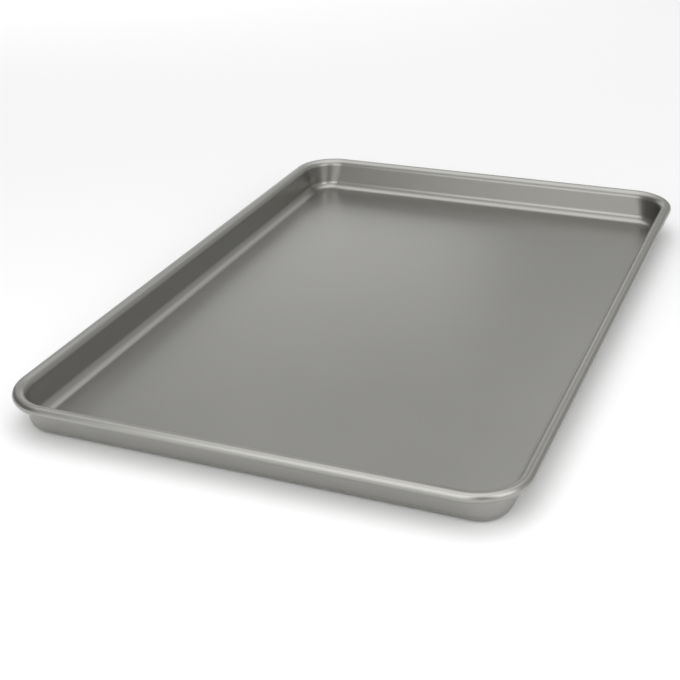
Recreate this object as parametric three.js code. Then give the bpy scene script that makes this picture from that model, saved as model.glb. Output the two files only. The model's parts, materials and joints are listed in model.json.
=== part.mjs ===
// Sheet pan: a shallow tray drawn from one steel sheet, its rim rolled outward over a stiffening wire.
// Millimetres, +Z up. The origin is the centre of the flat underside, +X runs along the pan's length.

import * as THREE from "three";

// Overall sizes
const PAN_LENGTH = 432; // over the rim, along X
const PAN_WIDTH = 292; // over the rim, along Y
const PAN_HEIGHT = 22.4; // from the underside to the top of the rim

// Drawn sheet
const SHEET_THICKNESS = 0.8;
const WALL_FLARE = THREE.MathUtils.degToRad(9); // lean of the walls from upright
const FLOOR_BEND_RADIUS = 6.3; // on the food side, between floor and wall
const SHOULDER_RADIUS = 5; // on the food side, between the wall and the top of the rim
const RIM_CORNER_RADIUS = 30; // in plan, at the rim's outer edge
const FLOOR_CORNER_RADIUS = 9.5; // in plan, at the edge of the flat floor

// Rolled rim
const WIRE_DIAMETER = 3.5;
const WIRE_CLEARANCE = 0.3; // between the wire and the sheet around it
const CURL_GAP = 0.6; // between the curl's cut edge and the underside of the shoulder
const WIRE_END_GAP = 1.5; // between the wire's two cut ends

// Facets
const CORNER_STEPS = 10; // along each quarter turn in plan
const BEND_STEPS = 6; // across the bend between floor and wall
const SHOULDER_STEPS = 5; // between the wall and the top of the rim
const CURL_STEPS = 20; // round the rolled rim
const WIRE_SIDES = 16;

const halfLength = PAN_LENGTH / 2;
const halfWidth = PAN_WIDTH / 2;
const wireRadius = WIRE_DIAMETER / 2;
const curlRadius = wireRadius + WIRE_CLEARANCE + SHEET_THICKNESS;

// Section through a side: x is measured outward and is 0 at the rim's outer edge, y is the height.
// The shoulder and the curl meet at the top of the rim.
const curlCentre = new THREE.Vector2(-curlRadius, PAN_HEIGHT - curlRadius);
const shoulderCentre = new THREE.Vector2(-curlRadius, PAN_HEIGHT - SHOULDER_RADIUS);

// The curl turns from the top of the rim outward and under, and its cut edge stops short of the shoulder.
// The angle left open is that of a triangle between the two centres and the cut edge.
const curlRise = SHOULDER_RADIUS - curlRadius;
const cutReach = SHOULDER_RADIUS - SHEET_THICKNESS - CURL_GAP;
const cutCosine = (cutReach ** 2 - curlRadius ** 2 - curlRise ** 2) / (2 * curlRise * curlRadius);
const curlTurn = 2 * Math.PI - Math.acos(cutCosine);

// The wall leaves the shoulder at a tangent and runs down until it meets the bend that sits on the floor.
const wallNormal = new THREE.Vector2(-Math.cos(WALL_FLARE), Math.sin(WALL_FLARE));
const wallTop = shoulderCentre.clone().addScaledVector(wallNormal, SHOULDER_RADIUS);
const bendHeight = SHEET_THICKNESS + FLOOR_BEND_RADIUS;
const wallBottomHeight = bendHeight - FLOOR_BEND_RADIUS * wallNormal.y;
const wallRun = (wallTop.y - wallBottomHeight) * Math.tan(WALL_FLARE);
const bendCentre = new THREE.Vector2(wallTop.x - wallRun + FLOOR_BEND_RADIUS * wallNormal.x, bendHeight);

// The pan's four corners, counter-clockwise from +X +Y, each with the angle that its quarter turn starts at.
const corners = [
  { sideX: 1, sideY: 1, from: 0 },
  { sideX: -1, sideY: 1, from: Math.PI / 2 },
  { sideX: -1, sideY: -1, from: Math.PI },
  { sideX: 1, sideY: -1, from: 1.5 * Math.PI },
];

// Stations round one corner of a level loop: the corner's upright axis and the way out at each step.
// The loop lies at x in the section and turns the corner with the given radius.
function cornerStations({ sideX, sideY, from }, x, radius) {
  const axis = new THREE.Vector3(sideX * (halfLength + x - radius), sideY * (halfWidth + x - radius), 0);
  return Array.from({ length: CORNER_STEPS + 1 }, (_, step) => {
    const angle = from + (step / CORNER_STEPS) * (Math.PI / 2);
    return { axis, out: new THREE.Vector3(Math.cos(angle), Math.sin(angle), 0) };
  });
}

// A loop's corner radius: an even offset of the rim's down to the wall top, then tightening to the floor's.
function cornerRadius({ x, y: height }) {
  const evenAtFloor = RIM_CORNER_RADIUS + bendCentre.x;
  const drop = (wallTop.y - height) / (wallTop.y - SHEET_THICKNESS);
  return RIM_CORNER_RADIUS + x + (FLOOR_CORNER_RADIUS - evenAtFloor) * THREE.MathUtils.clamp(drop, 0, 1);
}

// A closed solid through rings of equal point counts, with a flat cap on the first and the last ring.
// Rings turn counter-clockwise seen from outside the first cap.
function loft(rings) {
  const count = rings[0].length;
  const last = (rings.length - 1) * count;
  const index = [];
  for (let start = 0; start < last; start += count) {
    for (let i = 0; i < count; i++) {
      const next = (i + 1) % count;
      const [a, b, c, d] = [start + i, start + next, start + count + next, start + count + i];
      index.push(a, d, c, a, c, b);
    }
  }
  for (let i = 1; i < count - 1; i++) {
    index.push(0, i, i + 1);
    index.push(last, last + i + 1, last + i);
  }
  const geometry = new THREE.BufferGeometry().setFromPoints(rings.flat());
  geometry.setIndex(index);
  geometry.computeVertexNormals();
  return geometry;
}

// The middle of the sheet's thickness, from the edge of the flat floor out to the cut edge of the curl.
function sheetMidline() {
  const half = SHEET_THICKNESS / 2;
  const arc = (centre, radius, start, end, clockwise) =>
    new THREE.ArcCurve(centre.x, centre.y, radius, start, end, clockwise);
  const top = Math.PI / 2;
  const bend = arc(bendCentre, FLOOR_BEND_RADIUS + half, -Math.PI / 2, -WALL_FLARE, false);
  const shoulder = arc(shoulderCentre, SHOULDER_RADIUS - half, Math.PI - WALL_FLARE, top, true);
  const wall = new THREE.LineCurve(bend.getPoint(1), shoulder.getPoint(0));
  const curl = arc(curlCentre, curlRadius - half, top, top - curlTurn, true);
  return [
    { curve: bend, steps: BEND_STEPS },
    { curve: wall, steps: 1 },
    { curve: shoulder, steps: SHOULDER_STEPS },
    { curve: curl, steps: CURL_STEPS },
  ];
}

// The sheet's closed outline: out along the food side, round the cut edge and back along the underside.
function sheetSection() {
  const foodSide = [];
  const underside = [];
  for (const { curve, steps } of sheetMidline()) {
    for (let step = foodSide.length ? 1 : 0; step <= steps; step++) {
      const point = curve.getPoint(step / steps);
      const tangent = curve.getTangent(step / steps);
      const normal = new THREE.Vector2(-tangent.y, tangent.x).multiplyScalar(SHEET_THICKNESS / 2);
      foodSide.push(point.clone().add(normal));
      underside.push(point.clone().sub(normal));
    }
  }
  return [...foodSide, ...underside.reverse()];
}

// Drawn pan: floor, walls and rolled rim in one sheet. Each point of the section runs round as one loop.
function panShell() {
  const rings = sheetSection().map((point) => {
    const radius = cornerRadius(point);
    const stations = corners.flatMap((corner) => cornerStations(corner, point.x, radius));
    return stations.map(({ axis, out }) => axis.clone().addScaledVector(out, radius).setZ(point.y));
  });
  const coating = new THREE.MeshStandardMaterial({ color: 0x8b8b87, roughness: 0.42, metalness: 0.7 });
  return namedMesh("pan_shell", loft(rings), coating);
}

// Rim wire: one length bent round inside the curl. Its cut ends meet in the middle of the +Y side.
function rimWire() {
  const bendRadius = RIM_CORNER_RADIUS + curlCentre.x;
  const sideAxis = halfWidth + curlCentre.x - bendRadius;
  const cutEnd = (x) => ({ axis: new THREE.Vector3(x, sideAxis, 0), out: new THREE.Vector3(0, 1, 0) });
  const [lastCorner, ...firstCorners] = corners;
  const stations = [
    cutEnd(-WIRE_END_GAP / 2),
    ...[...firstCorners, lastCorner].flatMap((corner) => cornerStations(corner, curlCentre.x, bendRadius)),
    cutEnd(WIRE_END_GAP / 2),
  ];
  const rings = stations.map(({ axis, out }) =>
    Array.from({ length: WIRE_SIDES }, (_, side) => {
      const angle = (side / WIRE_SIDES) * 2 * Math.PI;
      const reach = bendRadius + wireRadius * Math.cos(angle);
      return axis.clone().addScaledVector(out, reach).setZ(curlCentre.y + wireRadius * Math.sin(angle));
    }),
  );
  const steel = new THREE.MeshStandardMaterial({ color: 0xb4b6b8, roughness: 0.35, metalness: 1 });
  return namedMesh("rim_wire", loft(rings), steel);
}

function namedMesh(name, geometry, material) {
  const mesh = new THREE.Mesh(geometry, material);
  mesh.name = name;
  return mesh;
}

const sheetPan = new THREE.Group();
sheetPan.add(panShell(), rimWire());

export default sheetPan;
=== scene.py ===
"""Dresses a sheet pan: its coated steel shell, the wire in its rolled rim and a plain studio round it."""

import json
import math
from types import SimpleNamespace
from typing import NamedTuple

import bmesh
import bpy
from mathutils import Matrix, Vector


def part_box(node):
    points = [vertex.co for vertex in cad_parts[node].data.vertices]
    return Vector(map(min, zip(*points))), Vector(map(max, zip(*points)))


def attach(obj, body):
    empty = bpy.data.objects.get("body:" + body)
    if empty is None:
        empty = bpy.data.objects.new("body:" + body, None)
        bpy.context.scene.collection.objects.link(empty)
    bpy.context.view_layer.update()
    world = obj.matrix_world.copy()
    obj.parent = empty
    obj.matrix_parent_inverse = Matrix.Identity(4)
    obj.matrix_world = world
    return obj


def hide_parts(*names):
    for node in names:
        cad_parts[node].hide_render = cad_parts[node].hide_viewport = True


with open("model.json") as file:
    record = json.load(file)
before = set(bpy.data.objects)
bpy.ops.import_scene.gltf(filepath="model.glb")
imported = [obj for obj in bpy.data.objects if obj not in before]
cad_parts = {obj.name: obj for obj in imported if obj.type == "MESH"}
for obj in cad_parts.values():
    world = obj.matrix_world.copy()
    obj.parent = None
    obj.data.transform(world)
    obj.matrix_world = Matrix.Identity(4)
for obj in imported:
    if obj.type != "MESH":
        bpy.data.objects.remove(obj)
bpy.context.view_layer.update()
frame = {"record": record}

bl_info = {
    "name": "Sheet pan",
    "version": (1, 0, 0),
    "blender": (4, 5, 0),
    "location": "3D View > Sidebar > Sheet pan",
    "description": "Models a drawn steel sheet pan with a wired rim, and the studio that shows it",
    "category": "Object",
}

# Sizes that the solids give
PAN_LOW, PAN_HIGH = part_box("pan_shell")
WIRE_LOW, WIRE_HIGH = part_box("rim_wire")
FACE_HEIGHT = {mount["name"]: mount["pos_m"][2] for mount in frame["record"]["mounts"]}

# Fineness of the meshes
BEND_STEPS = 16
SHOULDER_STEPS = 14
CURL_STEPS = 56
CORNER_STEPS = 24
WIRE_SIDES = 24
CUT_EDGE_STEPS = 2
CHAMFER_STEPS = 1
SHARP_ANGLE = math.radians(50)  # edges sharper than this are rounded

# Modelling margins, in metres
SEED_SIZE = 0.001  # of the plane that is merged into a piece's first point
WELD_DISTANCE = 0.00003  # points nearer to each other than this become one
LEVEL_MARGIN = 0.0001  # an edge up to this far above a level counts as lying on it

ROUND_PROFILE = 0.5  # a bevel's profile that is an arc
QUARTER_TURN = math.pi / 2
UP = Vector((0, 0, 1))


def length(name, description, default):
    """A size in metres, shown in the scene's own unit."""
    return bpy.props.FloatProperty(
        name=name, description=description, default=default, unit="LENGTH", precision=5
    )


def angle(name, description, degrees):
    """An angle, written here in degrees."""
    return bpy.props.FloatProperty(
        name=name, description=description, default=math.radians(degrees), subtype="ANGLE"
    )


def share(name, description, default):
    """A number from 0 to 1."""
    return bpy.props.FloatProperty(
        name=name, description=description, default=default, min=0, max=1, subtype="FACTOR"
    )


def strength(name, description, default):
    """A strength of light, where 1 is white."""
    return bpy.props.FloatProperty(name=name, description=description, default=default)


def colour(name, description, default):
    """A linear colour."""
    return bpy.props.FloatVectorProperty(
        name=name, description=description, default=default, size=3, min=0, max=1, subtype="COLOR"
    )


class SheetPanSizes(bpy.types.PropertyGroup):
    """Sizes of the pan and its rim."""

    pan_length: length("Length", "Over the rim, along X", PAN_HIGH.x - PAN_LOW.x)
    pan_width: length("Width", "Over the rim, along Y", PAN_HIGH.y - PAN_LOW.y)
    pan_height: length("Height", "Underside to the top of the rim", PAN_HIGH.z - PAN_LOW.z)
    sheet_thickness: length(
        "Sheet", "Thickness of the steel", FACE_HEIGHT["baking_floor"] - FACE_HEIGHT["underside"]
    )
    rim_corner_radius: length("Corner radius", "In plan, at the rim's outer edge", 0.030)
    wall_flare: angle("Wall flare", "Lean of the walls from upright", 9)
    floor_corner_radius: length("Floor corner", "In plan, at the edge of the flat floor", 0.0095)
    floor_bend_radius: length("Floor bend", "Food side radius between floor and wall", 0.0063)
    shoulder_radius: length("Shoulder", "Food side radius between the wall and the top of the rim", 0.005)
    wire_diameter: length("Wire", "Diameter of the wire in the rim", WIRE_HIGH.z - WIRE_LOW.z)
    wire_clearance: length("Wire clearance", "Between the wire and the sheet around it", 0.0003)
    curl_gap: length("Curl gap", "Between the curl's cut edge and the underside of the shoulder", 0.0006)
    wire_end_gap: length("Wire end gap", "Between the wire's two cut ends", 0.0015)
    cut_edge: length("Cut edge", "Rounding of the sheet's cut edge", 0.00012)
    wire_chamfer: length("Wire chamfer", "Chamfer on the wire's cut ends", 0.00025)


class SheetPanFinish(bpy.types.PropertyGroup):
    """Colours and gloss of the pan's finishes."""

    coat_colour: colour("Coat", "Metallic non-stick coat", (0.323, 0.3195, 0.302))
    flake_colour: colour("Flakes", "Brighter flakes in the coat", (0.353, 0.3495, 0.332))
    coat_roughness: share("Coat roughness", "How far the coat blurs a reflection", 0.335)
    flake_size: length("Flake size", "Spots of brighter flakes", 0.0006)
    peel_size: length("Orange peel", "Soft bumps that the sprayed coat dries with", 0.003)
    cloud_size: length("Cloud size", "Broad uneven places in the coat", 0.07)
    line_length: length("Draw line length", "Along the walls", 0.25)
    line_height: length("Draw line height", "From one line to the next", 0.0011)
    wire_colour: colour("Wire", "Bare drawn steel", (0.52, 0.52, 0.53))
    wire_roughness: share("Wire roughness", "How far the wire blurs a reflection", 0.3)
    film_size: length("Film size", "Spots of the dull film on the wire", 0.004)
    mark_length: length("Mark length", "Drawing marks along the wire", 0.05)
    mark_height: length("Mark height", "From one drawing mark to the next", 0.0003)


class SheetPanStage(bpy.types.PropertyGroup):
    """Camera, light and floor."""

    target: bpy.props.FloatVectorProperty(
        name="Target",
        description="Point on the floor that the camera's axis meets",
        default=(-0.0459, 0.0135, 0.0),
        size=3,
        subtype="TRANSLATION",
    )
    azimuth: angle("Azimuth", "Camera's turn about Z, from looking along +Y", -66.68)
    elevation: angle("Elevation", "Camera's height above the horizon", 26.61)
    roll: angle("Roll", "Camera's turn about its own axis", -1.75)
    distance: length("Distance", "From the camera to its target", 0.7882)
    focal_length: bpy.props.FloatProperty(
        name="Focal length", description="In millimetres", default=67.81, subtype="DISTANCE_CAMERA"
    )
    paper_colour: colour("Paper", "Floor and background", (0.88, 0.88, 0.88))
    room_bright: strength("Room, overhead", "Light from overhead", 1.88)
    room_dim: strength("Room, low down", "Light from low down", 0.4)
    room_slant: strength("Room, slant", "Low light gained to the right and lost to the left", 0.2)


# Modelling moves


def new_piece(name):
    """Names the primitive that was just added, fixes its place in its mesh and opens it for editing."""
    piece = bpy.context.object
    piece.name = name
    piece.data.name = name
    bpy.ops.object.transform_apply(location=True, rotation=True, scale=True)
    bpy.ops.object.mode_set(mode="EDIT")
    bpy.ops.mesh.select_all(action="SELECT")
    return piece


def start_point(name, place):
    """A new piece that is one selected point."""
    bpy.ops.object.select_all(action="DESELECT")
    bpy.ops.mesh.primitive_plane_add(size=SEED_SIZE, location=place)
    piece = new_piece(name)
    bpy.ops.mesh.merge(type="CENTER")
    return piece


def extrude(step):
    """Extrudes the selection and leaves its new end selected."""
    bpy.ops.mesh.extrude_region_move(TRANSFORM_OT_translate={"value": step})


def spin(centre, axis, amount, steps):
    """Spins the selection by the right-hand rule and leaves its new end selected."""
    bpy.ops.mesh.spin(steps=steps, angle=-amount, center=centre, axis=axis)


def carry_round(corners, end):
    """Carries the selection round each corner in turn and on to the next, and from the last to the end."""
    for corner, after in zip(corners, [*corners[1:], end]):
        spin(corner, UP, QUARTER_TURN, CORNER_STEPS)
        extrude(after - corner)


def bevel(affect, offset, segments):
    """Rounds the selected corners or edges by arcs that start one offset away from them."""
    bpy.ops.mesh.bevel(
        affect=affect, offset=offset, segments=segments, profile=ROUND_PROFILE, clamp_overlap=False
    )


def select_edges(piece, wanted):
    """Selects the edges that wanted says yes to, and nothing else."""
    bpy.ops.mesh.select_mode(type="EDGE")
    bpy.ops.mesh.select_all(action="DESELECT")
    mesh = bmesh.from_edit_mesh(piece.data)
    for edge in mesh.edges:
        edge.select_set(wanted(edge))
    bmesh.update_edit_mesh(piece.data)


def highest(edge):
    """The height of an edge's upper end."""
    return max(vertex.co.z for vertex in edge.verts)


def align_faces():
    """Selects every face and turns them all to one side, which is the outside of a closed piece."""
    bpy.ops.mesh.select_all(action="SELECT")
    bpy.ops.mesh.normals_make_consistent(inside=False)


def modify(kind, **settings):
    """Adds a modifier to the active piece, sets it up and applies it."""
    bpy.ops.object.modifier_add(type=kind)
    modifier = bpy.context.object.modifiers[-1]
    for name, value in settings.items():
        setattr(modifier, name, value)
    bpy.ops.object.modifier_apply(modifier=modifier.name)


def round_edges(width, segments):
    """Rounds the piece's sharp edges and smooths the rest, with flat faces kept flat in the shading."""
    modify("BEVEL", limit_method="ANGLE", angle_limit=SHARP_ANGLE, width=width, segments=segments)
    bpy.ops.object.shade_smooth_by_angle(angle=SHARP_ANGLE)
    modify("WEIGHTED_NORMAL", keep_sharp=True)


# Shapes


def corner_axes(sizes):
    """The four upright corner axes, counter-clockwise from +X +Y."""
    x = sizes.pan_length / 2 - sizes.rim_corner_radius
    y = sizes.pan_width / 2 - sizes.rim_corner_radius
    return [Vector((x, y, 0)), Vector((-x, y, 0)), Vector((-x, -y, 0)), Vector((x, -y, 0))]


def rim_section(sizes):
    """Lays out the food side of the sheet: x runs out from a corner's axis, z up from the underside."""
    curl_radius = sizes.wire_diameter / 2 + sizes.wire_clearance + sizes.sheet_thickness
    middle = sizes.rim_corner_radius - curl_radius
    curl_centre = Vector((middle, 0, sizes.pan_height - curl_radius))
    shoulder_centre = Vector((middle, 0, sizes.pan_height - sizes.shoulder_radius))
    wall_normal = Vector((-math.cos(sizes.wall_flare), 0, math.sin(sizes.wall_flare)))
    wall_top = shoulder_centre + wall_normal * sizes.shoulder_radius

    # The wall is laid out straight down to the floor. The bend that takes off its sharp foot comes later.
    wall_foot = wall_top.x - (wall_top.z - sizes.sheet_thickness) * math.tan(sizes.wall_flare)

    # The curl stops where its cut edge would come nearer to the shoulder than the gap.
    rise = sizes.shoulder_radius - curl_radius
    reach = sizes.shoulder_radius - sizes.sheet_thickness - sizes.curl_gap
    cut_cosine = (reach**2 - curl_radius**2 - rise**2) / (2 * rise * curl_radius)

    # The sheet turns by as much at the wall's foot as at the shoulder.
    wall_turn = QUARTER_TURN - sizes.wall_flare
    return SimpleNamespace(
        foot_inset=sizes.rim_corner_radius - wall_foot,
        bend_setback=sizes.floor_bend_radius * math.tan(wall_turn / 2),
        wall_top=wall_top,
        shoulder_centre=shoulder_centre,
        shoulder_turn=wall_turn,
        curl_centre=curl_centre,
        curl_turn=2 * math.pi - math.acos(cut_cosine),
    )


def model_pan(sizes):
    """The drawn sheet: a rolled rim carried round the pan, a floor with round corners, and walls between."""
    section = rim_section(sizes)
    piece = roll_rim(sizes, section)
    outline_floor(sizes, section)
    raise_walls(piece, sizes, section)
    turn_floor_up(piece)
    bpy.ops.object.mode_set(mode="OBJECT")
    modify("SOLIDIFY", thickness=sizes.sheet_thickness, offset=-1, use_even_offset=True)
    round_edges(sizes.cut_edge, CUT_EDGE_STEPS)
    return piece


def roll_rim(sizes, section):
    """Starts the pan with its shoulder and curl, which run round all four sides."""
    corners = corner_axes(sizes)
    side = Vector((0, 1, 0))
    piece = start_point("pan", corners[0] + section.wall_top)
    spin(corners[0] + section.shoulder_centre, side, section.shoulder_turn, SHOULDER_STEPS)
    spin(corners[0] + section.curl_centre, side, section.curl_turn, CURL_STEPS)
    bpy.ops.mesh.select_all(action="SELECT")
    carry_round(corners, corners[0])
    bpy.ops.mesh.select_all(action="SELECT")
    bpy.ops.mesh.remove_doubles(threshold=WELD_DISTANCE)
    return piece


def outline_floor(sizes, section):
    """Adds the outline of a floor that reaches out to the sharp foot of the walls."""
    floor_length = sizes.pan_length - 2 * section.foot_inset
    floor_width = sizes.pan_width - 2 * section.foot_inset
    bpy.ops.mesh.primitive_plane_add(size=1, location=(0, 0, sizes.sheet_thickness))
    bpy.ops.transform.resize(value=(floor_length, floor_width, 1))
    bevel("VERTICES", sizes.floor_corner_radius + section.bend_setback, CORNER_STEPS)
    bpy.ops.mesh.delete(type="ONLY_FACE")


def raise_walls(piece, sizes, section):
    """Bridges the floor's outline and the rim's lower edge, fills the floor and bends the walls' foot."""
    rim_level = section.wall_top.z + LEVEL_MARGIN
    select_edges(piece, lambda edge: len(edge.link_faces) < 2 and highest(edge) < rim_level)
    bpy.ops.mesh.bridge_edge_loops()
    floor_level = sizes.sheet_thickness + LEVEL_MARGIN
    select_edges(piece, lambda edge: highest(edge) < floor_level)
    bpy.ops.mesh.edge_face_add()
    bevel("EDGES", section.bend_setback, BEND_STEPS)


def turn_floor_up(piece):
    """Turns all faces to the food side. The floor is the largest of them."""
    align_faces()
    floor = max(bmesh.from_edit_mesh(piece.data).faces, key=lambda face: face.calc_area())
    if floor.normal.z < 0:
        bpy.ops.mesh.flip_normals()


def model_wire(sizes):
    """The rim's wire: a round section carried round the pan, from the middle of the +Y side back to it."""
    section = rim_section(sizes)
    first, *others = corner_axes(sizes)
    half_gap = sizes.wire_end_gap / 2
    bpy.ops.object.select_all(action="DESELECT")
    bpy.ops.mesh.primitive_circle_add(
        vertices=WIRE_SIDES,
        radius=sizes.wire_diameter / 2,
        fill_type="NOTHING",
        location=(-half_gap, first.y + section.curl_centre.x, section.curl_centre.z),
        rotation=(0, QUARTER_TURN, 0),
    )
    piece = new_piece("wire")
    half_side = Vector((half_gap - first.x, 0, 0))
    extrude(half_side)
    carry_round(others, first)
    spin(first, UP, QUARTER_TURN, CORNER_STEPS)
    extrude(half_side)

    # Both cut ends are closed.
    select_edges(piece, lambda edge: edge.is_boundary)
    bpy.ops.mesh.edge_face_add()
    align_faces()
    bpy.ops.object.mode_set(mode="OBJECT")
    round_edges(sizes.wire_chamfer, CHAMFER_STEPS)
    return piece


# Finishes

NOISE_ROUGHNESS = 0.55  # how strong the finer spots are beside the broad ones
NOISE_MIDDLE = 0.5


class Shade:
    """A node's socket. Arithmetic on it adds Math nodes, and node adds any other kind."""

    def __init__(self, tree, socket=None):
        self.tree = tree
        self.socket = socket

    def node(self, kind, settings=None, inputs=None, output=0):
        """Adds a node, sets it up, fills or links its sockets and gives one of its outputs."""
        made = self.tree.nodes.new(kind)
        for name, value in (settings or {}).items():
            setattr(made, name, value)
        for name, value in (inputs or {}).items():
            if isinstance(value, Shade):
                self.tree.links.new(value.socket, made.inputs[name])
            else:
                made.inputs[name].default_value = value
        return Shade(self.tree, made.outputs[output] if made.outputs else None)

    def math(self, operation, first, second):
        return self.node("ShaderNodeMath", {"operation": operation}, {0: first, 1: second})

    def __add__(self, other):
        return self.math("ADD", self, other)

    def __sub__(self, other):
        return self.math("SUBTRACT", self, other)

    def __rsub__(self, other):
        return self.math("SUBTRACT", other, self)

    def __mul__(self, other):
        return self.math("MULTIPLY", self, other)

    __radd__ = __add__
    __rmul__ = __mul__


def new_material(name):
    """An empty node material and the start of its shader maths."""
    material = bpy.data.materials.new(name)
    material.use_nodes = True
    material.node_tree.nodes.clear()
    return material, Shade(material.node_tree)


def noise(shade, place, size, detail=2.0):
    """Noise from 0 to 1 whose spots are about one size across, in metres."""
    inputs = {"Vector": place, "Scale": 1 / size, "Detail": detail, "Roughness": NOISE_ROUGHNESS}
    return shade.node("ShaderNodeTexNoise", inputs=inputs)


def stretched(shade, place, run, height):
    """Noise from 0 to 1 drawn out level, in lines about one run long and one height apart, in metres."""
    scale = (1 / run, 1 / run, 1 / height)
    squeezed = shade.node("ShaderNodeMapping", inputs={"Vector": place, "Scale": scale})
    return shade.node("ShaderNodeTexNoise", inputs={"Vector": squeezed, "Scale": 1.0, "Detail": 3.0})


def mixed(shade, factor, low, high):
    """A colour that runs from low to high as the factor goes from 0 to 1."""
    return shade.node(
        "ShaderNodeMix",
        {"data_type": "RGBA", "clamp_factor": True},
        {"Factor": factor, "A": (*low, 1), "B": (*high, 1)},
        output="Result",
    )


def metal(shade, tint, roughness, relief):
    """Ends a material in a metal of the given tint, roughness and relief in metres."""
    normal = shade.node("ShaderNodeBump", inputs={"Height": relief, "Distance": 1.0})
    surface = shade.node(
        "ShaderNodeBsdfPrincipled",
        inputs={"Base Color": tint, "Metallic": 1.0, "Roughness": roughness, "Normal": normal},
    )
    shade.node("ShaderNodeOutputMaterial", inputs={"Surface": surface})


# How much each pattern of the coat does to its colour, its gloss and, in metres, its relief
FLAKE_TINT, CLOUD_TINT, LINE_TINT = 0.7, 0.3, 1.2
FLAKE_GLOSS, CLOUD_GLOSS, LINE_GLOSS = 0.10, 0.06, 0.14
FLAKE_RELIEF, PEEL_RELIEF, LINE_RELIEF = 2.5e-6, 6e-6, 9e-6


def coated_steel(finish):
    """Satin metallic non-stick coat: fine flakes, a faint orange peel, and draw lines along the walls."""
    material, shade = new_material("coated_steel")
    place = shade.node("ShaderNodeTexCoord", output="Object")
    facing = shade.node("ShaderNodeNewGeometry", output="Normal")
    upward = shade.node("ShaderNodeSeparateXYZ", inputs={"Vector": facing}, output="Z")
    wall = 1 - upward * upward

    flakes = noise(shade, place, finish.flake_size)
    cloud = noise(shade, place, finish.cloud_size, detail=3.0)
    peel = noise(shade, place, finish.peel_size, detail=1.0)
    lines = (stretched(shade, place, finish.line_length, finish.line_height) - NOISE_MIDDLE) * wall

    tint = mixed(
        shade,
        flakes * FLAKE_TINT + cloud * CLOUD_TINT + lines * LINE_TINT,
        finish.coat_colour,
        finish.flake_colour,
    )
    flake_grain = (flakes - NOISE_MIDDLE) * FLAKE_GLOSS
    cloud_grain = (cloud - NOISE_MIDDLE) * CLOUD_GLOSS
    roughness = finish.coat_roughness + (flake_grain + cloud_grain + lines * LINE_GLOSS)
    relief = flakes * FLAKE_RELIEF + peel * PEEL_RELIEF + lines * LINE_RELIEF
    metal(shade, tint, roughness, relief)
    return material


# The same for the wire's film and drawing marks
FILM_SHADE = 0.8
FILM_GLOSS, MARK_GLOSS, MARK_RELIEF = 0.15, 0.1, 4e-6


def drawn_wire(finish):
    """Bare steel wire with a dull film and drawing marks."""
    material, shade = new_material("drawn_wire")
    place = shade.node("ShaderNodeTexCoord", output="Object")
    film = noise(shade, place, finish.film_size, detail=4.0)
    marks = stretched(shade, place, finish.mark_length, finish.mark_height)
    dull = [channel * FILM_SHADE for channel in finish.wire_colour]
    tint = mixed(shade, film, dull, finish.wire_colour)
    roughness = finish.wire_roughness + film * FILM_GLOSS + marks * MARK_GLOSS
    metal(shade, tint, roughness, marks * MARK_RELIEF)
    return material


def studio_paper(stage):
    """Plain white paper."""
    material, shade = new_material("studio_paper")
    lit = shade.node("ShaderNodeBsdfDiffuse", inputs={"Color": (*stage.paper_colour, 1)})
    shade.node("ShaderNodeOutputMaterial", inputs={"Surface": lit})
    return material


# Studio

PAPER_SIZE = 40
PAPER_GAP = 0.0002  # below the pan's underside
SENSOR_WIDTH = 36  # of the camera, in millimetres

# Turns round the pan in degrees, counted from straight behind it, as the camera sees it, to the right
RIGHT_SIDE = 90
CAMERA_SIDE = 180


class SoftBox(NamedTuple):
    """A light panel: its direction round the pan in degrees, its place and size in metres, its radiance."""

    name: str
    turn: float
    elevation: float
    distance: float
    width: float
    height: float
    radiance: float


SOFT_BOXES = (
    SoftBox("front_left_panel", turn=209, elevation=25, distance=0.75, width=0.6, height=0.6, radiance=1.8),
    SoftBox(
        "front_right_panel", turn=142, elevation=26, distance=0.75, width=0.42, height=0.5, radiance=1.8
    ),
    SoftBox("right_panel", turn=28, elevation=35, distance=1.1, width=0.4, height=0.36, radiance=0.45),
    SoftBox("back_panel", turn=-14, elevation=16, distance=1.3, width=1.1, height=0.45, radiance=0.78),
)

# The overhead light: its middle, the cosine at which it has faded, and its loss to the sides
OVERHEAD_TURN = 0
OVERHEAD_ELEVATION = 87
OVERHEAD_REACH = 0.5
OVERHEAD_SIDE_LOSS = 0.3


def around(stage, turn, elevation):
    """The direction at a turn round the pan and a height above the horizon, both in degrees."""
    bearing = stage.azimuth + QUARTER_TURN - math.radians(turn)
    rise = math.radians(elevation)
    return Vector((math.cos(bearing) * math.cos(rise), math.sin(bearing) * math.cos(rise), math.sin(rise)))


def add_floor(stage):
    """A wide sheet of paper just under the pan."""
    bpy.ops.object.select_all(action="DESELECT")
    bpy.ops.mesh.primitive_plane_add(size=PAPER_SIZE, location=(0, 0, -PAPER_GAP))
    floor = bpy.context.object
    floor.name = "paper_floor"
    floor.data.materials.append(studio_paper(stage))


def add_soft_box(stage, box):
    """A panel that shines on the pan. The camera doesn't see it."""
    direction = around(stage, box.turn, box.elevation)
    lamp = bpy.data.lights.new(box.name, "AREA")
    lamp.shape = "RECTANGLE"
    lamp.size = box.width
    lamp.size_y = box.height
    lamp.energy = box.radiance * math.pi * box.width * box.height
    panel = bpy.data.objects.new(box.name, lamp)
    panel.location = direction * box.distance
    panel.rotation_euler = direction.to_track_quat("Z", "Y").to_euler()
    panel.visible_camera = False
    bpy.context.scene.collection.objects.link(panel)


def along(shade, direction, axis):
    """How far a direction points along an axis."""
    settings = {"operation": "DOT_PRODUCT"}
    return shade.node("ShaderNodeVectorMath", settings, {0: direction, 1: axis}, "Value")


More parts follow.
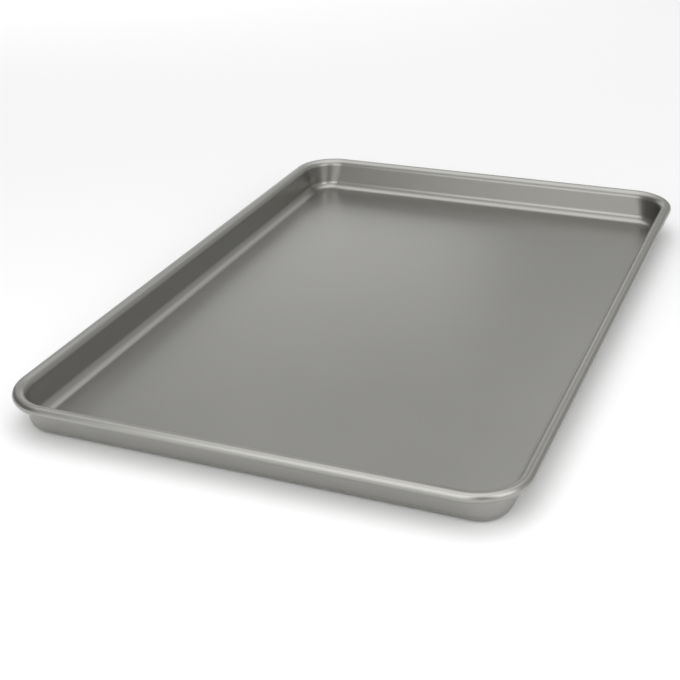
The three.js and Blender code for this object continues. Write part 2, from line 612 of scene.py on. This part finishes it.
def add_world(stage):
    """A pale room: bright overhead, and low down a little lighter to the right than to the left."""
    world = bpy.data.worlds.new("pale_room")
    world.use_nodes = True
    world.node_tree.nodes.clear()
    shade = Shade(world.node_tree)
    outward = shade.node("ShaderNodeTexCoord", output="Generated")
    overhead = along(shade, outward, around(stage, OVERHEAD_TURN, OVERHEAD_ELEVATION))
    rightward = along(shade, outward, around(stage, RIGHT_SIDE, 0))
    light = shade.node(
        "ShaderNodeMapRange",
        {"interpolation_type": "SMOOTHSTEP"},
        {
            "Value": overhead - OVERHEAD_SIDE_LOSS * rightward * rightward,
            "From Min": OVERHEAD_REACH,
            "From Max": 1.0,
            "To Min": stage.room_dim + stage.room_slant * rightward,
            "To Max": stage.room_bright,
        },
    )
    room = shade.node("ShaderNodeBackground", inputs={"Color": (1, 1, 1, 1), "Strength": light})
    shade.node("ShaderNodeOutputWorld", inputs={"Surface": room})
    bpy.context.scene.world = world


def add_camera(stage):
    """The camera at the photograph's angle."""
    back = around(stage, CAMERA_SIDE, math.degrees(stage.elevation))
    data = bpy.data.cameras.new("camera")
    data.lens = stage.focal_length
    data.sensor_width = SENSOR_WIDTH
    camera = bpy.data.objects.new("camera", data)
    camera.location = Vector(stage.target) + back * stage.distance
    camera.rotation_euler = (-back).to_track_quat("-Z", "Y").to_euler()
    camera.rotation_euler.rotate_axis("Z", stage.roll)
    bpy.context.scene.collection.objects.link(camera)
    bpy.context.scene.camera = camera


# Operators


def dress(piece, node, material):
    """Gives a piece its finish and puts it in the place of its solid."""
    piece.data.materials.clear()
    piece.data.materials.append(material)
    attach(piece, "root")
    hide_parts(node)


class SHEETPAN_OT_pan(bpy.types.Operator):
    """Models the drawn pan with its rolled rim"""

    bl_idname = "sheetpan.pan"
    bl_label = "Pan"

    def execute(self, context):
        piece = model_pan(context.scene.sheet_pan_sizes)
        dress(piece, "pan_shell", coated_steel(context.scene.sheet_pan_finish))
        return {"FINISHED"}


class SHEETPAN_OT_wire(bpy.types.Operator):
    """Models the wire that stiffens the rim"""

    bl_idname = "sheetpan.wire"
    bl_label = "Rim wire"

    def execute(self, context):
        piece = model_wire(context.scene.sheet_pan_sizes)
        dress(piece, "rim_wire", drawn_wire(context.scene.sheet_pan_finish))
        return {"FINISHED"}


class SHEETPAN_OT_stage(bpy.types.Operator):
    """Sets up the floor, the lights and the camera"""

    bl_idname = "sheetpan.stage"
    bl_label = "Stage"

    def execute(self, context):
        stage = context.scene.sheet_pan_stage
        context.scene.view_settings.view_transform = "Standard"
        add_world(stage)
        add_floor(stage)
        for box in SOFT_BOXES:
            add_soft_box(stage, box)
        add_camera(stage)
        return {"FINISHED"}


class SHEETPAN_PT_panel(bpy.types.Panel):
    """Sizes, finishes and stage of the sheet pan"""

    bl_label = "Sheet pan"
    bl_space_type = "VIEW_3D"
    bl_region_type = "UI"
    bl_category = "Sheet pan"

    def draw(self, context):
        scene = context.scene
        for group in (scene.sheet_pan_sizes, scene.sheet_pan_finish, scene.sheet_pan_stage):
            box = self.layout.box()
            for name in group.__annotations__:
                box.prop(group, name)
        for operator in OPERATORS:
            self.layout.operator(operator.bl_idname)


GROUPS = {
    "sheet_pan_sizes": SheetPanSizes,
    "sheet_pan_finish": SheetPanFinish,
    "sheet_pan_stage": SheetPanStage,
}
OPERATORS = (SHEETPAN_OT_pan, SHEETPAN_OT_wire, SHEETPAN_OT_stage)
CLASSES = (*GROUPS.values(), *OPERATORS, SHEETPAN_PT_panel)


def register():
    for made in CLASSES:
        bpy.utils.register_class(made)
    for name, group in GROUPS.items():
        setattr(bpy.types.Scene, name, bpy.props.PointerProperty(type=group))


def unregister():
    for name in GROUPS:
        delattr(bpy.types.Scene, name)
    for made in reversed(CLASSES):
        bpy.utils.unregister_class(made)


def main():
    register()
    bpy.ops.sheetpan.pan()
    bpy.ops.sheetpan.wire()
    bpy.ops.sheetpan.stage()


if __name__ == "__main__":
    main()
